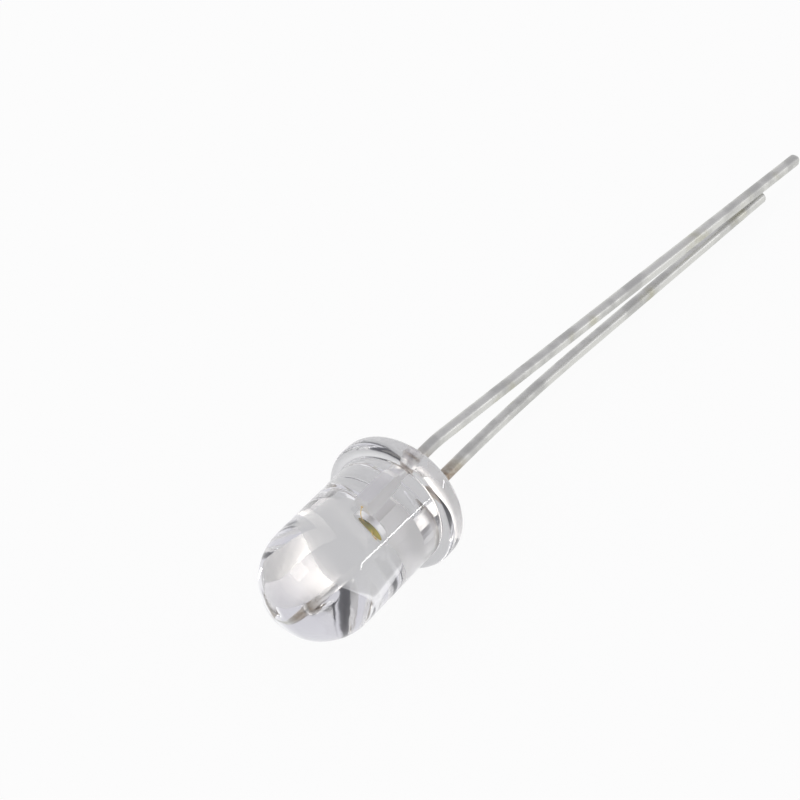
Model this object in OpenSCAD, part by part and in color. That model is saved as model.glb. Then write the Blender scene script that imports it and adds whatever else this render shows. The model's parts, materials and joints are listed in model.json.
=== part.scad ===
// Through hole LED with a clear 5 mm lens, lying as it comes to rest.
// It is drawn standing, with the dome up, the leads down and the seat at z = 0,
// the cathode at -x and the anode at +x. The last module lays it down.

/* [Clear lens] */
// Diameter of the barrel that a panel holder grips
barrel_d = 5.0; // [4.8:0.1:5.4]
// Height of the lens from the seat to the top of the dome
lens_len = 8.5; // [7.5:0.1:9.5]
// How far the flange stands out from the barrel
flange_rim = 0.5; // [0.5:0.05:0.7]
// Thickness of the flange
flange_t = 1.0; // [0.8:0.05:1.6]
// Rounding of the flange's rim on the dome side
front_round = 0.4; // [0.2:0.05:0.4]
// Rounding of the flange's rim at the seat
back_round = 0.15; // [0.05:0.05:0.25]
// Fillet in the corner between barrel and flange
neck_fillet = 0.08; // [0.04:0.02:0.1]
// How far the cathode flat stands out from the barrel
flat_step = 0.05; // [0.02:0.01:0.1]
// How far the epoxy creeps down each lead
wick_h = 0.3; // [0.1:0.05:0.5]

/* [Leads] */
// Distance between the leads where they leave the epoxy
lead_pitch = 2.54; // [2.3:0.02:2.8]
// Width of a lead in the plane of both leads
lead_w = 0.5; // [0.4:0.01:0.52]
// Thickness of the sheet that the leads are stamped from
lead_t = 0.5; // [0.4:0.01:0.52]
// Rounding of a lead's four edges
lead_round = 0.18; // [0.04:0.01:0.2]
// Length of the anode below the seat
anode_len = 29.9; // [20:0.1:34]
// Straight stretch of the anode before its bend
anode_straight = 1.8; // [0.5:0.1:4]
// Radius of the bend in the anode
anode_bend_r = 12.0; // [12:1:30]
// Angle of the bend in the anode
anode_bend = 5.8; // [2:0.1:8]
// Compass direction of the bend in the anode
anode_turn = -99.9; // [-110:0.1:-80]
// Radius of the rounded end of the anode
anode_tip_r = 0.26; // [0.26:0.01:0.4]
// Length of the cathode below the seat
cathode_len = 27.2; // [18:0.1:31]
// Straight stretch of the cathode before its bend
cathode_straight = 3.0; // [0.5:0.1:4]
// Radius of the bend in the cathode
cathode_bend_r = 70.0; // [20:1:80]
// Angle of the bend in the cathode
cathode_bend = 8.3; // [3:0.1:9]
// Compass direction of the bend in the cathode
cathode_turn = -60.4; // [-75:0.1:-50]

/* [Frame inside the epoxy] */
// Height of the cup's rim and of the top of the post
frame_top = 3.3; // [3.1:0.05:4]
// Height at which the stamped stems begin to widen
stem_h = 0.9; // [0.6:0.05:1.2]
// Height of the slope where the stems widen
flare_h = 0.35; // [0.2:0.05:0.5]
// How far the anvil and the post widen past the leads
flare_w = 0.22; // [0.1:0.02:0.3]
// Height of the anvil's outer shoulder
shoulder_h = 2.05; // [1.8:0.05:2.3]
// Half width of the anvil below the cup
anvil_half = 0.36; // [0.3:0.02:0.44]
// Gap between the cup's rim and the post
frame_gap = 0.4; // [0.3:0.01:0.45]
// Chamfer on the top corners of the post
post_chamfer = 0.12; // [0.05:0.01:0.15]

/* [Cup and chip] */
// Diameter of the cup's mouth
cup_mouth_d = 0.72; // [0.66:0.02:1]
// Diameter of the cup's floor
cup_floor_d = 0.5; // [0.46:0.01:0.56]
// Depth of the cup
cup_depth = 0.35; // [0.27:0.01:0.45]
// Wall of the cup at its rim
cup_wall = 0.12; // [0.1:0.01:0.14]
// Height of the straight part of the cup's outside
cup_band = 0.3; // [0.2:0.05:0.35]
// How far the phosphor gel stays below the rim
gel_below = 0.02; // [0.01:0.01:0.05]
// Side of the square chip
die_side = 0.26; // [0.24:0.01:0.3]
// Thickness of the chip
die_h = 0.12; // [0.1:0.01:0.15]
// Thickness of the adhesive under the chip
die_bond_h = 0.02; // [0.01:0.005:0.03]

/* [Bond wires] */
// Diameter of the gold wire
wire_d = 0.03; // [0.025:0.001:0.04]
// Diameter of the flattened pads at the ends of a wire
pad_d = 0.08; // [0.06:0.005:0.09]
// Height of those pads
pad_h = 0.03; // [0.02:0.005:0.04]
// Distance of the two pads on the chip from its centre
pad_out = 0.075; // [0.06:0.005:0.08]
// Bow of the long wire above the straight line between its pads
long_bow = 0.3; // [0.2:0.01:0.4]
// Bow of the short wire above the straight line between its pads
short_bow = 0.14; // [0.12:0.01:0.2]

/* [Hidden] */

round_fn = 96;
fine_fn = 32;
wire_fn = 16;
corner_steps = 4;
bend_steps = 6;
tip_steps = 5;

barrel_r = barrel_d / 2;
flange_r = barrel_r + flange_rim;
dome_base = lens_len - barrel_r;
flat_out = barrel_r + flat_step;
lead_x = lead_pitch / 2;

cup_rim_r = cup_mouth_d / 2 + cup_wall;
cup_floor_z = frame_top - cup_depth;
cup_cone_z = frame_top - cup_band;
flare_top = stem_h + flare_h;
frame_out = lead_x + lead_w / 2 + flare_w;
post_in = cup_rim_r + frame_gap;
neck_z = cup_cone_z - (cup_rim_r - lead_t / 2);
anvil_top = cup_cone_z + cup_band / 2;

gel_z = frame_top - gel_below;
die_z = cup_floor_z + die_bond_h;
die_top = die_z + die_h;
post_pad_x = (post_in + frame_out) / 2;
rim_pad_x = (cup_mouth_d / 2 + cup_rim_r) / 2;
wire_up = pad_h - wire_d / 4;

// Length of the arc of a bend
function arc_len(bend_r, bend) = bend_r * bend * PI / 180;
// Middle of a lead at a distance along it from the seat, in the plane of its bend:
// how far it has moved sideways, how far down it is, and the angle it has turned
function middle(along, straight, bend_r, bend) =
    let (turned = min(max(along - straight, 0) * 180 / PI / bend_r, bend),
         past = max(along - straight - arc_len(bend_r, bend), 0))
    [bend_r * (1 - cos(turned)) + past * sin(turned),
     min(along, straight) + bend_r * sin(turned) + past * cos(turned),
     turned];

// The LED tips back on the edge of its flat until the cathode's end touches down
cathode_end = middle(cathode_len, cathode_straight, cathode_bend_r, cathode_bend);
cathode_end_x = -lead_x + cathode_end[0] * cos(cathode_turn) - lead_w / 2;
rest_tilt = atan((flat_out + cathode_end_x) / cathode_end[1]);

// Lens: half section of barrel, dome and flange, and the corner between them
module lens_section() {
    square([barrel_r, dome_base]);
    intersection() {
        translate([0, dome_base]) circle(barrel_r, $fn = round_fn);
        translate([0, dome_base]) square(barrel_r);
    }
    square([flange_r - front_round, flange_t]);
    square([flange_r - back_round, flange_t - front_round]);
    translate([0, back_round]) square([flange_r, flange_t - front_round - back_round]);
    translate([flange_r - front_round, flange_t - front_round])
        circle(front_round, $fn = fine_fn);
    translate([flange_r - back_round, back_round]) circle(back_round, $fn = fine_fn);
    translate([barrel_r, flange_t]) difference() {
        square(neck_fillet);
        translate([neck_fillet, neck_fillet]) circle(neck_fillet, $fn = fine_fn);
    }
}

// Hollow collar of epoxy that has crept down one lead
module meniscus() {
    mirror([0, 0, 1]) rotate_extrude($fn = fine_fn) difference() {
        square([lead_w / 2 + wick_h, wick_h]);
        translate([lead_w / 2 + wick_h, wick_h]) circle(wick_h, $fn = fine_fn);
    }
}

module casting() {
    difference() {
        rotate_extrude($fn = round_fn) lens_section();
        translate([-flat_out - flange_r, -flange_r, -flange_t])
            cube([flange_r, 2 * flange_r, 3 * flange_t]);
    }
    for (side = [-1, 1]) translate([side * lead_x, 0, 0]) meniscus();
}

// The casting has a cavity for each piece that it holds, and fits it all over
module lens() {
    color([0.86, 0.87, 0.9, 0.4]) difference() {
        casting();
        cathode_lead();
        anode_frame();
        cup_fill(gel_z);
        anode_wire();
        cathode_wire();
    }
}

// Section of a lead with its four edges rounded, one quarter turn after the other
function lead_section() = [
    for (quarter = [0 : 3], step = [0 : corner_steps])
        let (a = 90 * (quarter + step / corner_steps),
             side_x = quarter == 0 || quarter == 3 ? 1 : -1,
             side_y = quarter < 2 ? 1 : -1)
        [side_x * (lead_w / 2 - lead_round) + lead_round * cos(a),
         side_y * (lead_t / 2 - lead_round) + lead_round * sin(a)]
];

// That section at a distance along a lead, square to it, and drawn in to a share of its size
function ring(along, share, straight, bend_r, bend, turn) =
    let (at = middle(along, straight, bend_r, bend)) [
        for (p = lead_section())
            let (u = share * (p[0] * cos(turn) + p[1] * sin(turn)),
                 v = share * (p[1] * cos(turn) - p[0] * sin(turn)),
                 out = at[0] + u * cos(at[2]))
            [out * cos(turn) - v * sin(turn), out * sin(turn) + v * cos(turn),
             u * sin(at[2]) - at[1]]
    ];

// Skin through rings of points that follow each other down
module skin(rings) {
    n = len(rings[0]);
    last = len(rings) - 1;
    polyhedron([for (r = rings) each r], [
        [for (i = [n - 1 : -1 : 0]) i],
        for (k = [0 : last - 1], i = [0 : n - 1])
            [k * n + i, k * n + (i + 1) % n, (k + 1) * n + (i + 1) % n, (k + 1) * n + i],
        [for (i = [0 : n - 1]) last * n + i]
    ]);
}

// One lead from the stem's top down: straight, bent, straight, and its end cut square
// or, where tip_r is given, rounded off
module lead(length, straight, bend_r, bend, turn, tip_r = 0) {
    curve = arc_len(bend_r, bend);
    tip = tip_r > 0 ? [
        for (i = [0 : tip_steps])
            let (a = asin(lead_w / 2 / tip_r) * (1 - i / (tip_steps + 1)))
            [length - tip_r * (1 - cos(a)), tip_r * sin(a) / (lead_w / 2)]
    ] : [[length, 1]];
    stations = [
        [-stem_h, 1],
        for (i = [0 : bend_steps]) [straight + curve * i / bend_steps, 1],
        each tip
    ];
    skin([for (s = stations) ring(s[0], s[1], straight, bend_r, bend, turn)]);
}

// Stamped shape of sheet thickness, drawn in the plane of both leads
module stamped() {
    rotate([90, 0, 0]) linear_extrude(lead_t, center = true) children();
}

module cup_fill(top) {
    slope = (cup_mouth_d - cup_floor_d) / 2 / cup_depth;
    rise = top - cup_floor_z;
    translate([0, 0, cup_floor_z])
        cylinder(h = rise, r1 = cup_floor_d / 2, r2 = cup_floor_d / 2 + rise * slope,
            $fn = round_fn);
}

// Cathode: lead, anvil and coined cup
module cathode_frame() {
    translate([-lead_x, 0, 0])
        lead(cathode_len, cathode_straight, cathode_bend_r, cathode_bend, cathode_turn);
    stamped() polygon([
        [-lead_x - lead_w / 2, stem_h], [-frame_out, flare_top],
        [-frame_out, shoulder_h], [-anvil_half, anvil_top],
        [anvil_half, anvil_top], [anvil_half, flare_top + flare_h],
        [anvil_half - flare_h, flare_top], [-lead_x + lead_w / 2, stem_h]
    ]);
    translate([0, 0, neck_z])
        cylinder(h = cup_cone_z - neck_z, r1 = lead_t / 2, r2 = cup_rim_r, $fn = round_fn);
    translate([0, 0, cup_cone_z]) cylinder(h = cup_band, r = cup_rim_r, $fn = round_fn);
}

module cathode_lead() {
    color([0.72, 0.72, 0.7]) difference() {
        cathode_frame();
        cup_fill(frame_top);
    }
}

// Anode: lead and post, whose flat top takes the long wire
module anode_frame() {
    translate([lead_x, 0, 0])
        lead(anode_len, anode_straight, anode_bend_r, anode_bend, anode_turn, anode_tip_r);
    stamped() polygon([
        [lead_x + lead_w / 2, stem_h], [frame_out, flare_top],
        [frame_out, frame_top - post_chamfer], [frame_out - post_chamfer, frame_top],
        [post_in + post_chamfer, frame_top], [post_in, frame_top - post_chamfer],
        [post_in, flare_top + flare_h], [lead_x - lead_w / 2, stem_h]
    ]);
}

module anode_lead() {
    color([0.72, 0.72, 0.7]) anode_frame();
}

module die() {
    color([0.75, 0.85, 0.9]) translate([-die_side / 2, -die_side / 2, die_z])
        cube([die_side, die_side, die_h]);
}

module die_bond() {
    color([0.9, 0.9, 0.85]) translate([-die_side / 2, -die_side / 2, cup_floor_z])
        cube([die_side, die_side, die_bond_h]);
}

module phosphor() {
    color([0.82, 0.74, 0.25]) difference() {
        cup_fill(gel_z);
        die();
        die_bond();
        anode_wire();
        cathode_wire();
    }
}

module pad(x, z) {
    translate([x, 0, z]) cylinder(h = pad_h, d = pad_d, $fn = fine_fn);
}

// Wire that bows up from one pad to the other, as an arc of a circle
module bowed_wire(x0, z0, x1, z1, bow) {
    chord = norm([x1 - x0, z1 - z0]);
    arc_r = (chord * chord / 4 + bow * bow) / (2 * bow);
    half = asin(chord / 2 / arc_r);
    lean = atan2(z1 - z0, x1 - x0);
    drop = arc_r - bow;
    centre = [(x0 + x1) / 2 + drop * sin(lean), (z0 + z1) / 2 - drop * cos(lean)];
    sweep = bow > chord / 2 ? 360 - 2 * half : 2 * half;
    translate([centre[0], 0, centre[1]]) rotate([90, 0, 0])
        rotate([0, 0, 90 + lean - sweep / 2])
            rotate_extrude(angle = sweep, $fn = round_fn)
                translate([arc_r, 0]) circle(d = wire_d, $fn = wire_fn);
}

module anode_wire() {
    color("gold") {
        pad(pad_out, die_top);
        pad(post_pad_x, frame_top);
        bowed_wire(pad_out, die_top + wire_up,
            post_pad_x, frame_top + wire_up, long_bow);
    }
}

module cathode_wire() {
    color("gold") {
        pad(-pad_out, die_top);
        pad(-rim_pad_x, frame_top);
        bowed_wire(-rim_pad_x, frame_top + wire_up,
            -pad_out, die_top + wire_up, short_bow);
    }
}

// Lays the standing LED on its flat, with the dome to -y and the anode on top
module lying() {
    rotate([-rest_tilt, 0, 0]) rotate([0, -90, 0]) rotate([90, 0, 0]) children();
}

lying() lens();
lying() anode_lead();
lying() cathode_lead();
lying() phosphor();
lying() die();
lying() die_bond();
lying() anode_wire();
lying() cathode_wire();
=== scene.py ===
import json
import math

import bmesh
import bpy
from mathutils import Matrix, Vector


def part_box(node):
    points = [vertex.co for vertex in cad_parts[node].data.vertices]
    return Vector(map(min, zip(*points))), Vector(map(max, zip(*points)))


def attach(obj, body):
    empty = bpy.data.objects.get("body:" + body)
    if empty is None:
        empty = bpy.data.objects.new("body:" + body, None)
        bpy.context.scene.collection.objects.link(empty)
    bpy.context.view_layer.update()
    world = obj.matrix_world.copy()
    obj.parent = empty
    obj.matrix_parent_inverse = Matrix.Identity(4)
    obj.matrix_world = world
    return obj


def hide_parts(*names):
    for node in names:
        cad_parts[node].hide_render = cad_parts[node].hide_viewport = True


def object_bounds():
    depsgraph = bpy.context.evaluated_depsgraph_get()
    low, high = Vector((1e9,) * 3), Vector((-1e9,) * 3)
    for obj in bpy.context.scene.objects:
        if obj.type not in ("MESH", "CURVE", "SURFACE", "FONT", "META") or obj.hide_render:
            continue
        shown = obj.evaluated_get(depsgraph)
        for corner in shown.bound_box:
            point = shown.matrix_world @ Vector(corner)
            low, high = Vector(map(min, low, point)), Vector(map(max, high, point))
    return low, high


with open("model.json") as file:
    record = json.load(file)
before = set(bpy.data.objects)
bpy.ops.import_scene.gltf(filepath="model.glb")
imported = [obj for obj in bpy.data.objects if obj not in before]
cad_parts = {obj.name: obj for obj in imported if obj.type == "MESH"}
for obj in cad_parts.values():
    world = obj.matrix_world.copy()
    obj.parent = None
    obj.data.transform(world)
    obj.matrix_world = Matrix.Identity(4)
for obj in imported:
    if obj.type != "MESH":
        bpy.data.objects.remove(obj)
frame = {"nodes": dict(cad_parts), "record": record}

cad_low, cad_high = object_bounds()

# Camera: it looks down on the dome, with the leads running away to the upper right.
# Its place and turn were worked out from the lens's outline and both leads' ends.
camera_azimuth = math.radians(32.05)
camera_elevation = math.radians(43.46)
camera_place = (0.05315, -0.08505, 0.10044)
camera_data = bpy.data.cameras.new("camera")
camera_data.sensor_width = 36.0
camera_data.lens = 157.5
camera_data.clip_start = 0.002
camera_data.clip_end = 10.0
camera = bpy.data.objects.new("camera", camera_data)
camera.location = camera_place
camera.rotation_euler = (math.pi / 2 - camera_elevation, 0, camera_azimuth)
bpy.context.scene.collection.objects.link(camera)
bpy.context.scene.camera = camera
bpy.context.scene.view_settings.view_transform = "Standard"

# Light runs round and round inside the clear flange before it comes out, so its rays
# are followed further than Blender does by itself. Otherwise the flange turns black.
light_paths = bpy.context.scene.cycles
light_paths.max_bounces = 24
light_paths.glossy_bounces = 16
light_paths.transmission_bounces = 24

# Leads: two strips stamped from one thin steel sheet and dipped in tin. The cathode
# widens to an anvil with a coined cup, the anode to a post. The tin is soft and pale,
# with drawn lines along it, dull patches and a few greenish and brown stains.
tin_pale = (0.7, 0.7, 0.67, 1)
tin_dull = (0.57, 0.57, 0.55, 1)
tin_stain = (0.53, 0.52, 0.42, 1)
tin_brown = (0.33, 0.26, 0.2, 1)
silver = (0.97, 0.96, 0.95, 1)
tin_rough_pale = 0.4
tin_rough_dull = 0.52
silver_rough = 0.35
silver_edge = 0.0003
brown_start = 0.0032
brown_full = 0.0019
brown_strength = 1.5

MM = 0.001
mounts = {m["name"]: m for m in frame["record"]["mounts"]}
dome_axis = Vector(mounts["barrel"]["axis"]).normalized()
flat_axis = Vector(mounts["cathode_flat"]["axis"]).normalized()
lead_x = 1.27
anode_bend_r = 12.0
cathode_bend_r = 70.0
bend_steps = 12
coat_half = 0.265
coat_squareness = 2.4
coat_corners = 32
coat_into_seat = 0.1
coat_past_end = 0.02
tip_steps = 7
tip_sweep = math.radians(82)


def new_group(name, ins, outs):
    """A shader node group with named float inputs and named outputs."""
    group = bpy.data.node_groups.new(name, "ShaderNodeTree")
    for label, value in ins:
        socket = group.interface.new_socket(label, in_out="INPUT", socket_type="NodeSocketFloat")
        socket.default_value = value
    for label, kind in outs:
        group.interface.new_socket(label, in_out="OUTPUT", socket_type=kind)
    return group, group.nodes.new("NodeGroupInput"), group.nodes.new("NodeGroupOutput")


def calc(tree, operation, first, second):
    """One Math node's output, from two numbers or outputs of other nodes."""
    node = tree.nodes.new("ShaderNodeMath")
    node.operation = operation
    for socket, value in zip(node.inputs, (first, second)):
        if isinstance(value, float):
            socket.default_value = value
        else:
            tree.links.new(value, socket)
    return node.outputs[0]


def ramp(tree, value, start, end, low=0.0, high=1.0, kind="LINEAR"):
    """Turns a value that goes from start to end into one that goes from low to high."""
    node = tree.nodes.new("ShaderNodeMapRange")
    node.interpolation_type = kind
    tree.links.new(value, node.inputs["Value"])
    for label, limit in (
            ("From Min", start), ("From Max", end), ("To Min", low), ("To Max", high)):
        if isinstance(limit, float):
            node.inputs[label].default_value = limit
        else:
            tree.links.new(limit, node.inputs[label])
    return node.outputs["Result"]


def along_axis(tree, vector, axis):
    """How far a place or a direction reaches along an axis."""
    node = tree.nodes.new("ShaderNodeVectorMath")
    node.operation = "DOT_PRODUCT"
    node.inputs[1].default_value = axis
    tree.links.new(vector, node.inputs[0])
    return node.outputs["Value"]


def uneven(tree, height, strength, distance):
    """The normal of a surface that rises and falls with a height, by a distance in metres."""
    node = tree.nodes.new("ShaderNodeBump")
    node.inputs["Strength"].default_value = strength
    node.inputs["Distance"].default_value = distance
    tree.links.new(height, node.inputs["Height"])
    return node.outputs["Normal"]


def patches_group():
    """Soft blotches, as of dull tin or of stains, and fine grains."""
    group, put, out = new_group(
        "patches",
        [("Scale", 800.0), ("From", 0.45), ("To", 0.65), ("Seed", 0.0)],
        [("Mask", "NodeSocketFloat"), ("Grain", "NodeSocketFloat")])
    link = group.links.new
    place = group.nodes.new("ShaderNodeTexCoord")
    shift = group.nodes.new("ShaderNodeVectorMath")
    shift.operation = "ADD"
    link(place.outputs["Object"], shift.inputs[0])
    link(put.outputs["Seed"], shift.inputs[1])
    coarse = group.nodes.new("ShaderNodeTexNoise")
    coarse.inputs["Detail"].default_value = 4.0
    link(shift.outputs[0], coarse.inputs["Vector"])
    link(put.outputs["Scale"], coarse.inputs["Scale"])
    link(ramp(group, coarse.outputs["Fac"], put.outputs["From"], put.outputs["To"],
              kind="SMOOTHSTEP"), out.inputs["Mask"])
    fine = group.nodes.new("ShaderNodeTexNoise")
    fine.inputs["Detail"].default_value = 2.0
    link(shift.outputs[0], fine.inputs["Vector"])
    link(calc(group, "MULTIPLY", put.outputs["Scale"], 9.0), fine.inputs["Scale"])
    link(fine.outputs["Fac"], out.inputs["Grain"])
    return group


patches = patches_group()


def place_group(tree, group, **values):
    """Puts a node group into a material, with its own values."""
    node = tree.nodes.new("ShaderNodeGroup")
    node.node_tree = group
    for name, value in values.items():
        node.inputs[name].default_value = value
    return node


def material(name, **sockets):
    """A material with its Principled shader, set by socket names with _ for a space."""
    made = bpy.data.materials.new(name)
    made.use_nodes = True
    shader = made.node_tree.nodes["Principled BSDF"]
    for label, value in sockets.items():
        shader.inputs[label.replace("_", " ")].default_value = value
    return made, made.node_tree, shader


def mix_colour(tree, fac, first, second):
    """The first colour where fac is 0, the second where it is 1."""
    node = tree.nodes.new("ShaderNodeMix")
    node.data_type = "RGBA"
    tree.links.new(fac, node.inputs["Factor"])
    first_colour, second_colour, colour_out = 6, 7, 2
    for socket, value in ((first_colour, first), (second_colour, second)):
        if isinstance(value, tuple):
            node.inputs[socket].default_value = value
        else:
            tree.links.new(value, node.inputs[socket])
    return node.outputs[colour_out]


def tinned():
    """Satin tin outside, browned where it leaves the epoxy, and silver inside it."""
    made, tree, shader = material("tinned_lead", Metallic=1.0)
    dull = place_group(tree, patches, Scale=700.0, From=0.42, To=0.62)
    stain = place_group(tree, patches, Scale=420.0, From=0.57, To=0.72, Seed=3.1)
    colour = mix_colour(tree, dull.outputs["Mask"], tin_pale, tin_dull)
    colour = mix_colour(tree, stain.outputs["Mask"], colour, tin_stain)
    where = tree.nodes.new("ShaderNodeTexCoord").outputs["Object"]
    cast_in = ramp(tree, along_axis(tree, where, (0, 1, 0)), silver_edge, -silver_edge)
    browned = ramp(tree, along_axis(tree, where, (0, 1, 1)), brown_start, brown_full,
                   high=brown_strength)
    speckled = calc(tree, "MULTIPLY", browned, dull.outputs["Grain"])
    colour = mix_colour(tree, speckled, colour, tin_brown)
    colour = mix_colour(tree, cast_in, colour, silver)
    tree.links.new(colour, shader.inputs["Base Color"])
    rough = ramp(tree, dull.outputs["Mask"], 0.0, 1.0, tin_rough_pale, tin_rough_dull)
    smooth = tree.nodes.new("ShaderNodeMix")
    smooth.inputs["B"].default_value = silver_rough
    tree.links.new(cast_in, smooth.inputs["Factor"])
    tree.links.new(rough, smooth.inputs["A"])
    tree.links.new(smooth.outputs["Result"], shader.inputs["Roughness"])
    along = tree.nodes.new("ShaderNodeMapping")
    along.inputs["Scale"].default_value = (9000, 500, 9000)
    tree.links.new(where, along.inputs["Vector"])
    drawn = tree.nodes.new("ShaderNodeTexNoise")
    drawn.inputs["Scale"].default_value = 1.0
    tree.links.new(along.outputs["Vector"], drawn.inputs["Vector"])
    tree.links.new(uneven(tree, drawn.outputs["Fac"], 0.15, 0.00002), shader.inputs["Normal"])
    return made


def dress(node, made):
    """Puts one material on a CAD node."""
    slots = frame["nodes"][node].data.materials
    slots.clear()
    slots.append(made)


def lead_route(end, side, bend_r):
    """Places (mm) and directions along a lead's middle, from the seat to its bend's end."""
    first = -dome_axis
    last = Vector(mounts[end]["axis"]).normalized()
    root = flat_axis * (side * lead_x)
    gap = Vector(mounts[end]["pos_m"]) / MM - root
    normal = first.cross(last)
    corner = root + first * (gap.cross(last).dot(normal) / normal.length_squared)
    bend = first.angle(last)
    aside = normal.cross(first).normalized()
    arc_start = corner - first * (bend_r * math.tan(bend / 2))
    route = [(root - first * coat_into_seat, first)]
    for k in range(bend_steps + 1):
        turned = bend * k / bend_steps
        place = arc_start + bend_r * (first * math.sin(turned) + aside * (1 - math.cos(turned)))
        route.append((place, first * math.cos(turned) + aside * math.sin(turned)))
    return route


def coat_ring(bm, place, direction, share):
    """The edges of a ring between a square and a circle, square to the lead."""
    power = 2 / coat_squareness
    turn = (-dome_axis).rotation_difference(direction)
    wide = turn @ flat_axis
    thick = wide.cross(direction)
    points = []
    for k in range(coat_corners):
        a = 2 * math.pi * (k + 0.5) / coat_corners
        across = math.copysign(abs(math.cos(a)) ** power, math.cos(a))
        up = math.copysign(abs(math.sin(a)) ** power, math.sin(a))
        points.append(bm.verts.new(place + share * coat_half * (wide * across + thick * up)))
    return [bm.edges.new((points[k - 1], points[k])) for k in range(coat_corners)]


def tin_coat(name, end, side, bend_r, tip_len, drawn_in):
    """The skin of tin on one lead, 0.015 mm thick, with its tip rounded or cut square."""
    bm = bmesh.new()
    stations = [(place, direction, 1.0) for place, direction in lead_route(end, side, bend_r)]
    last = stations[-1][1]
    tip = Vector(mounts[end]["pos_m"]) / MM + last * coat_past_end
    for k in range(tip_steps + 1):
        a = tip_sweep * k / tip_steps
        place = tip - last * (tip_len * (1 - math.sin(a)))
        stations.append((place, last, 1 - drawn_in * (1 - math.cos(a))))
    rings = [coat_ring(bm, *station) for station in stations]
    for pair in zip(rings, rings[1:]):
        bmesh.ops.bridge_loops(bm, edges=pair[0] + pair[1])
    for ring in (rings[0], rings[-1]):
        bmesh.ops.contextual_create(bm, geom=ring)
    bmesh.ops.recalc_face_normals(bm, faces=bm.faces)
    bmesh.ops.scale(bm, verts=bm.verts, vec=(MM, MM, MM))
    mesh = bpy.data.meshes.new(name)
    bm.to_mesh(mesh)
    bm.free()
    mesh.shade_smooth()
    mesh.set_sharp_from_angle(angle=math.radians(60))
    mesh.materials.append(tin)
    coat = bpy.data.objects.new(name, mesh)
    bpy.context.scene.collection.objects.link(coat)
    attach(coat, "root")


tin = tinned()
dress("anode_lead", tin)
dress("cathode_lead", tin)
tin_coat("anode_tin", "anode_end", -1, anode_bend_r, 0.3, 1.0)
tin_coat("cathode_tin", "cathode_end", 1, cathode_bend_r, 0.04, 0.15)

# Chip: a small sapphire die stuck to the floor of the cup with pale adhesive. It is
# covered with yellow phosphor in clear gel, and two gold wires join it to the frame.
phosphor_yellow = (0.78, 0.66, 0.12, 1)
# The olive is painted shade, laid on the gel's upper left side; the yellow and the brown spots
# are the gel's own colours.
phosphor_shade_olive = (0.2, 0.19, 0.08, 1)
phosphor_brown = (0.5, 0.38, 0.12, 1)
olive_shade_from = -0.0006
yellow_from = 0.0


def gel():
    """Phosphor in gel, yellow at the lower right, darkened to olive at the upper left by painted
    shade.
    """
    made, tree, shader = material("phosphor_gel", Roughness=0.35, Subsurface_Weight=0.3)
    shader.inputs["Subsurface Scale"].default_value = 0.0001
    spots = place_group(tree, patches, Scale=2600.0, From=0.4, To=0.65)
    where = tree.nodes.new("ShaderNodeTexCoord").outputs["Object"]
    # Painted shade: the gel goes from yellow to dark olive towards the upper left.
    lower_right = ramp(tree, along_axis(tree, where, (1, 0, -1)), olive_shade_from, yellow_from,
                       kind="SMOOTHSTEP")
    colour = mix_colour(tree, lower_right, phosphor_shade_olive, phosphor_yellow)
    colour = mix_colour(tree, spots.outputs["Mask"], colour, phosphor_brown)
    tree.links.new(colour, shader.inputs["Base Color"])
    tree.links.new(uneven(tree, spots.outputs["Grain"], 0.4, 0.00003), shader.inputs["Normal"])
    return made


gold, _, _ = material("gold_wire", Base_Color=(0.95, 0.7, 0.3, 1), Metallic=1.0, Roughness=0.18)
sapphire, _, _ = material("chip", Base_Color=(0.5, 0.62, 0.7, 1), Roughness=0.1)
adhesive, _, _ = material("adhesive", Base_Color=(0.85, 0.85, 0.8, 1), Roughness=0.5)
dress("phosphor", gel())
dress("anode_wire", gold)
dress("cathode_wire", gold)
dress("die", sapphire)
dress("die_bond", adhesive)

# Lens: one casting of clear epoxy round the stamped frame, with a dome, a barrel and
# a flange that has a flat on the cathode's side. The mould was filled from the seat,
# where the epoxy has crept up both leads.
barrel_r = mounts["barrel"]["dims"]["r_mm"]
lens_low, lens_high = (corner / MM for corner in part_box("lens"))
flange_r = (lens_high.x - lens_low.x) / 2
flat_out = flat_axis.dot(Vector(mounts["cathode_flat"]["pos_m"]) / MM)
barrel_mid = dome_axis.dot(Vector(mounts["barrel"]["pos_m"]) / MM)
barrel_half = mounts["barrel"]["dims"]["length_mm"] / 2
dome_base = barrel_mid + barrel_half
neck_fillet = 0.08
flange_t = barrel_mid - barrel_half - neck_fillet
front_round = 0.4
back_round = 0.3
lead_half = 0.25
creep_h = 0.3
creep_reach = 0.14
creep_falloff = 1.3
seat_rings = 64
seat_margin = 0.02
dome_steps = 64
spin_steps = 192
merge_within = 0.0005
on_seat = 0.0001


def round_corner(bm, vertex, radius, segments):
    """Rounds one corner of the outline."""
    return bmesh.ops.bevel(
        bm, geom=[vertex], offset=radius, affect="VERTICES", segments=segments,
        profile=0.5, material=-1)


def lens_outline(bm):
    """Half of the lens's section, in millimetres, from the seat's middle to the dome's top."""
    reach = flange_r - back_round - seat_margin
    seat = [bm.verts.new((reach * i / seat_rings, 0, 0)) for i in range(seat_rings + 1)]
    corners = [bm.verts.new(p) for p in (
        (flange_r, 0, 0), (flange_r, 0, flange_t), (barrel_r, 0, flange_t),
        (barrel_r, 0, dome_base))]
    line = seat + corners
    for pair in zip(line, line[1:]):
        bm.edges.new(pair)
    bmesh.ops.spin(
        bm, geom=[corners[3]], cent=(0, 0, dome_base), axis=(0, -1, 0),
        angle=math.pi / 2, steps=dome_steps)
    return corners[:3]


def creep(v):
    """How far the epoxy stands out at a point of the seat, round the leads."""
    x, y = v.x, v.y
    out = 0.0
    for side in (-1, 1):
        dx = max(abs(x - side * lead_x) - lead_half, 0.0)
        dy = max(abs(y) - lead_half, 0.0)
        out += creep_h * math.exp(-((math.hypot(dx, dy) / creep_reach) ** creep_falloff))
    return out


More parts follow.
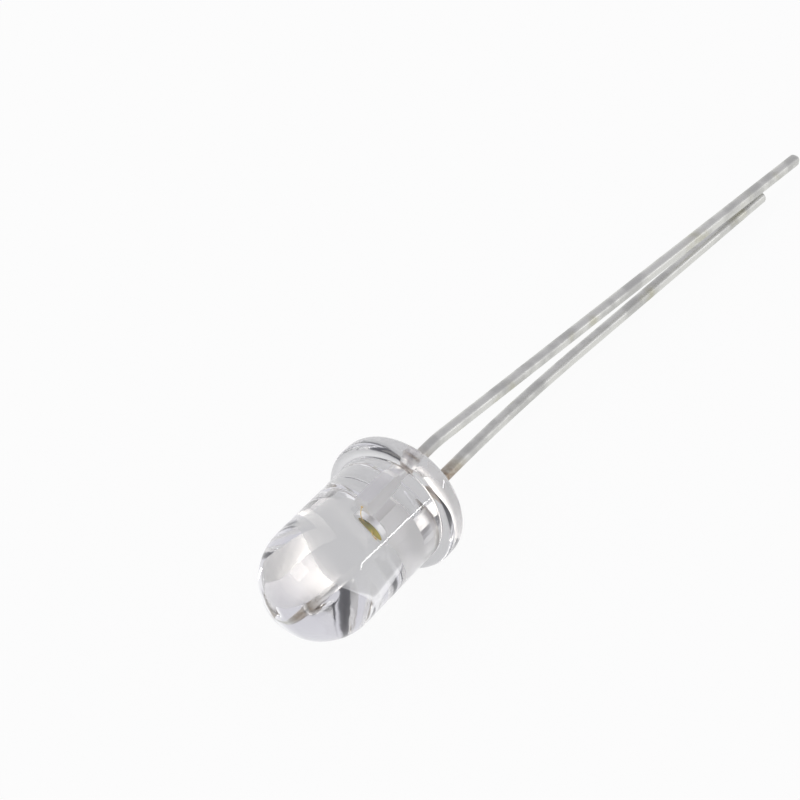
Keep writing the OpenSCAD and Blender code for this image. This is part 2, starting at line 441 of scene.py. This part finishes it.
def cast_lens():
    """Spins the outline, raises the creep, cuts the flat and lays the lens down."""
    bm = bmesh.new()
    back, front, neck = lens_outline(bm)
    round_corner(bm, back, back_round, 8)
    round_corner(bm, front, front_round, 10)
    round_corner(bm, neck, neck_fillet, 4)
    bm.verts.ensure_lookup_table()
    bmesh.ops.spin(
        bm, geom=bm.verts[:] + bm.edges[:], cent=(0, 0, 0), axis=(0, 0, 1),
        angle=2 * math.pi, steps=spin_steps, use_merge=True)
    bmesh.ops.remove_doubles(bm, verts=bm.verts, dist=merge_within)
    for v in bm.verts:
        if v.co.z < on_seat:
            v.co.z -= creep(v.co)
    cut = bmesh.ops.bisect_plane(
        bm, geom=bm.verts[:] + bm.edges[:] + bm.faces[:], dist=1e-5,
        plane_co=(-flat_out, 0, 0), plane_no=(-1, 0, 0), clear_outer=True)
    rim_edges = [e for e in cut["geom_cut"] if isinstance(e, bmesh.types.BMEdge)]
    bmesh.ops.contextual_create(bm, geom=rim_edges)
    bmesh.ops.recalc_face_normals(bm, faces=bm.faces)
    side = -flat_axis
    lay = Matrix((side, dome_axis.cross(side), dome_axis)).transposed().to_4x4()
    bm.transform(Matrix.Scale(MM, 4) @ lay)
    mesh = bpy.data.meshes.new("lens_casting")
    bm.to_mesh(mesh)
    bm.free()
    mesh.shade_smooth()
    mesh.set_sharp_from_angle(angle=math.radians(40))
    return mesh


def epoxy():
    """Clear epoxy, cast a little wavy."""
    made, tree, shader = material(
        "clear_epoxy", Base_Color=(0.95, 0.95, 0.968, 1), Roughness=0.03, IOR=1.53,
        Transmission_Weight=1.0)
    place = tree.nodes.new("ShaderNodeTexCoord")
    wave = tree.nodes.new("ShaderNodeTexNoise")
    wave.inputs["Scale"].default_value = 900.0
    wave.inputs["Detail"].default_value = 2.0
    tree.links.new(place.outputs["Object"], wave.inputs["Vector"])
    tree.links.new(uneven(tree, wave.outputs["Fac"], 0.2, 0.00003), shader.inputs["Normal"])
    return made


lens = bpy.data.objects.new("lens_casting", cast_lens())
lens.data.materials.append(epoxy())
bpy.context.scene.collection.objects.link(lens)
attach(lens, "root")
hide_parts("lens")

# Room: a pale floor under a sky that is white low down and greyer above, with a dark
# patch behind the camera for the dome's dark marks. A soft lamp hangs over the left
# shoulder, and a strip lamp on the right gives the long thin highlight.
floor_z = cad_low.z
floor_grey = (0.9, 0.9, 0.9, 1)
floor_glow = 0.93
shade_middle = (0.0, -0.004, floor_z)
shade_inner = 0.005
shade_outer = 0.012
shade_depth = 0.42
sky_low = (0.974, 0.974, 0.98, 1)
sky_high = (0.64, 0.635, 0.675, 1)
sky_low_to = 0.05
sky_high_from = 0.45
dark_grey = (0.06, 0.06, 0.07, 1)
dark_side = Vector((0.33, -0.68, 0.65)).normalized()
dark_inner = math.radians(20)
dark_outer = math.radians(36)


def floor_material():
    """A floor that looks near white, and dimmer under the LED when seen through the lens."""
    made = bpy.data.materials.new("pale_floor")
    made.use_nodes = True
    tree = made.node_tree
    shader = tree.nodes["Principled BSDF"]
    shader.inputs["Base Color"].default_value = floor_grey
    shader.inputs["Roughness"].default_value = 0.7
    glow = tree.nodes.new("ShaderNodeEmission")
    rays = tree.nodes.new("ShaderNodeLightPath")
    place = tree.nodes.new("ShaderNodeTexCoord")
    away = tree.nodes.new("ShaderNodeVectorMath")
    away.operation = "DISTANCE"
    away.inputs[1].default_value = shade_middle
    tree.links.new(place.outputs["Object"], away.inputs[0])
    shade = ramp(tree, away.outputs["Value"], shade_inner, shade_outer, shade_depth, 0.0,
                 kind="SMOOTHSTEP")
    dimmed = calc(tree, "MULTIPLY", shade, rays.outputs["Is Transmission Ray"])
    tree.links.new(calc(tree, "SUBTRACT", 1.0, dimmed), glow.inputs["Strength"])
    seen = calc(tree, "MAXIMUM", rays.outputs["Is Camera Ray"], rays.outputs["Is Glossy Ray"])
    seen = calc(tree, "MAXIMUM", seen, rays.outputs["Is Transmission Ray"])
    both = tree.nodes.new("ShaderNodeMixShader")
    tree.links.new(calc(tree, "MULTIPLY", seen, floor_glow), both.inputs[0])
    tree.links.new(shader.outputs[0], both.inputs[1])
    tree.links.new(glow.outputs[0], both.inputs[2])
    tree.links.new(both.outputs[0], tree.nodes["Material Output"].inputs["Surface"])
    return made


def lay_floor():
    """Lays the floor under the LED's lowest point."""
    bm = bmesh.new()
    bmesh.ops.create_grid(bm, x_segments=1, y_segments=1, size=1.5)
    bmesh.ops.translate(bm, verts=bm.verts, vec=(0, 0, floor_z))
    mesh = bpy.data.meshes.new("floor")
    bm.to_mesh(mesh)
    bm.free()
    mesh.materials.append(floor_material())
    floor = bpy.data.objects.new("floor", mesh)
    bpy.context.scene.collection.objects.link(floor)


def sky():
    """The world: sky_low at the horizon, sky_high above, and the dark patch."""
    world = bpy.data.worlds.new("room")
    bpy.context.scene.world = world
    world.use_nodes = True
    tree = world.node_tree
    where = tree.nodes.new("ShaderNodeTexCoord").outputs["Generated"]
    height = ramp(tree, along_axis(tree, where, (0, 0, 1)), sky_low_to, sky_high_from,
                  kind="SMOOTHSTEP")
    colour = mix_colour(tree, height, sky_low, sky_high)
    patch = ramp(tree, along_axis(tree, where, dark_side), math.cos(dark_outer),
                 math.cos(dark_inner), kind="SMOOTHSTEP")
    colour = mix_colour(tree, patch, colour, dark_grey)
    back = tree.nodes["Background"]
    tree.links.new(colour, back.inputs["Color"])
    back.inputs["Strength"].default_value = 1.0


def lamp(name, place, size, power, colour=(1, 1, 1)):
    """A rectangular lamp that faces the lens."""
    data = bpy.data.lights.new(name, "AREA")
    data.shape = "RECTANGLE"
    data.size, data.size_y = size
    data.energy = power
    data.color = colour
    made = bpy.data.objects.new(name, data)
    made.location = place
    made.rotation_euler = (-Vector(place)).to_track_quat("-Z", "Y").to_euler()
    bpy.context.scene.collection.objects.link(made)


lay_floor()
sky()
lamp("key", (-0.15, -0.27, 0.28), (0.2, 0.2), 0.28, (1.0, 0.955, 0.86))
lamp("strip", (0.286, 0.254, 0.12), (0.12, 0.012), 0.065)
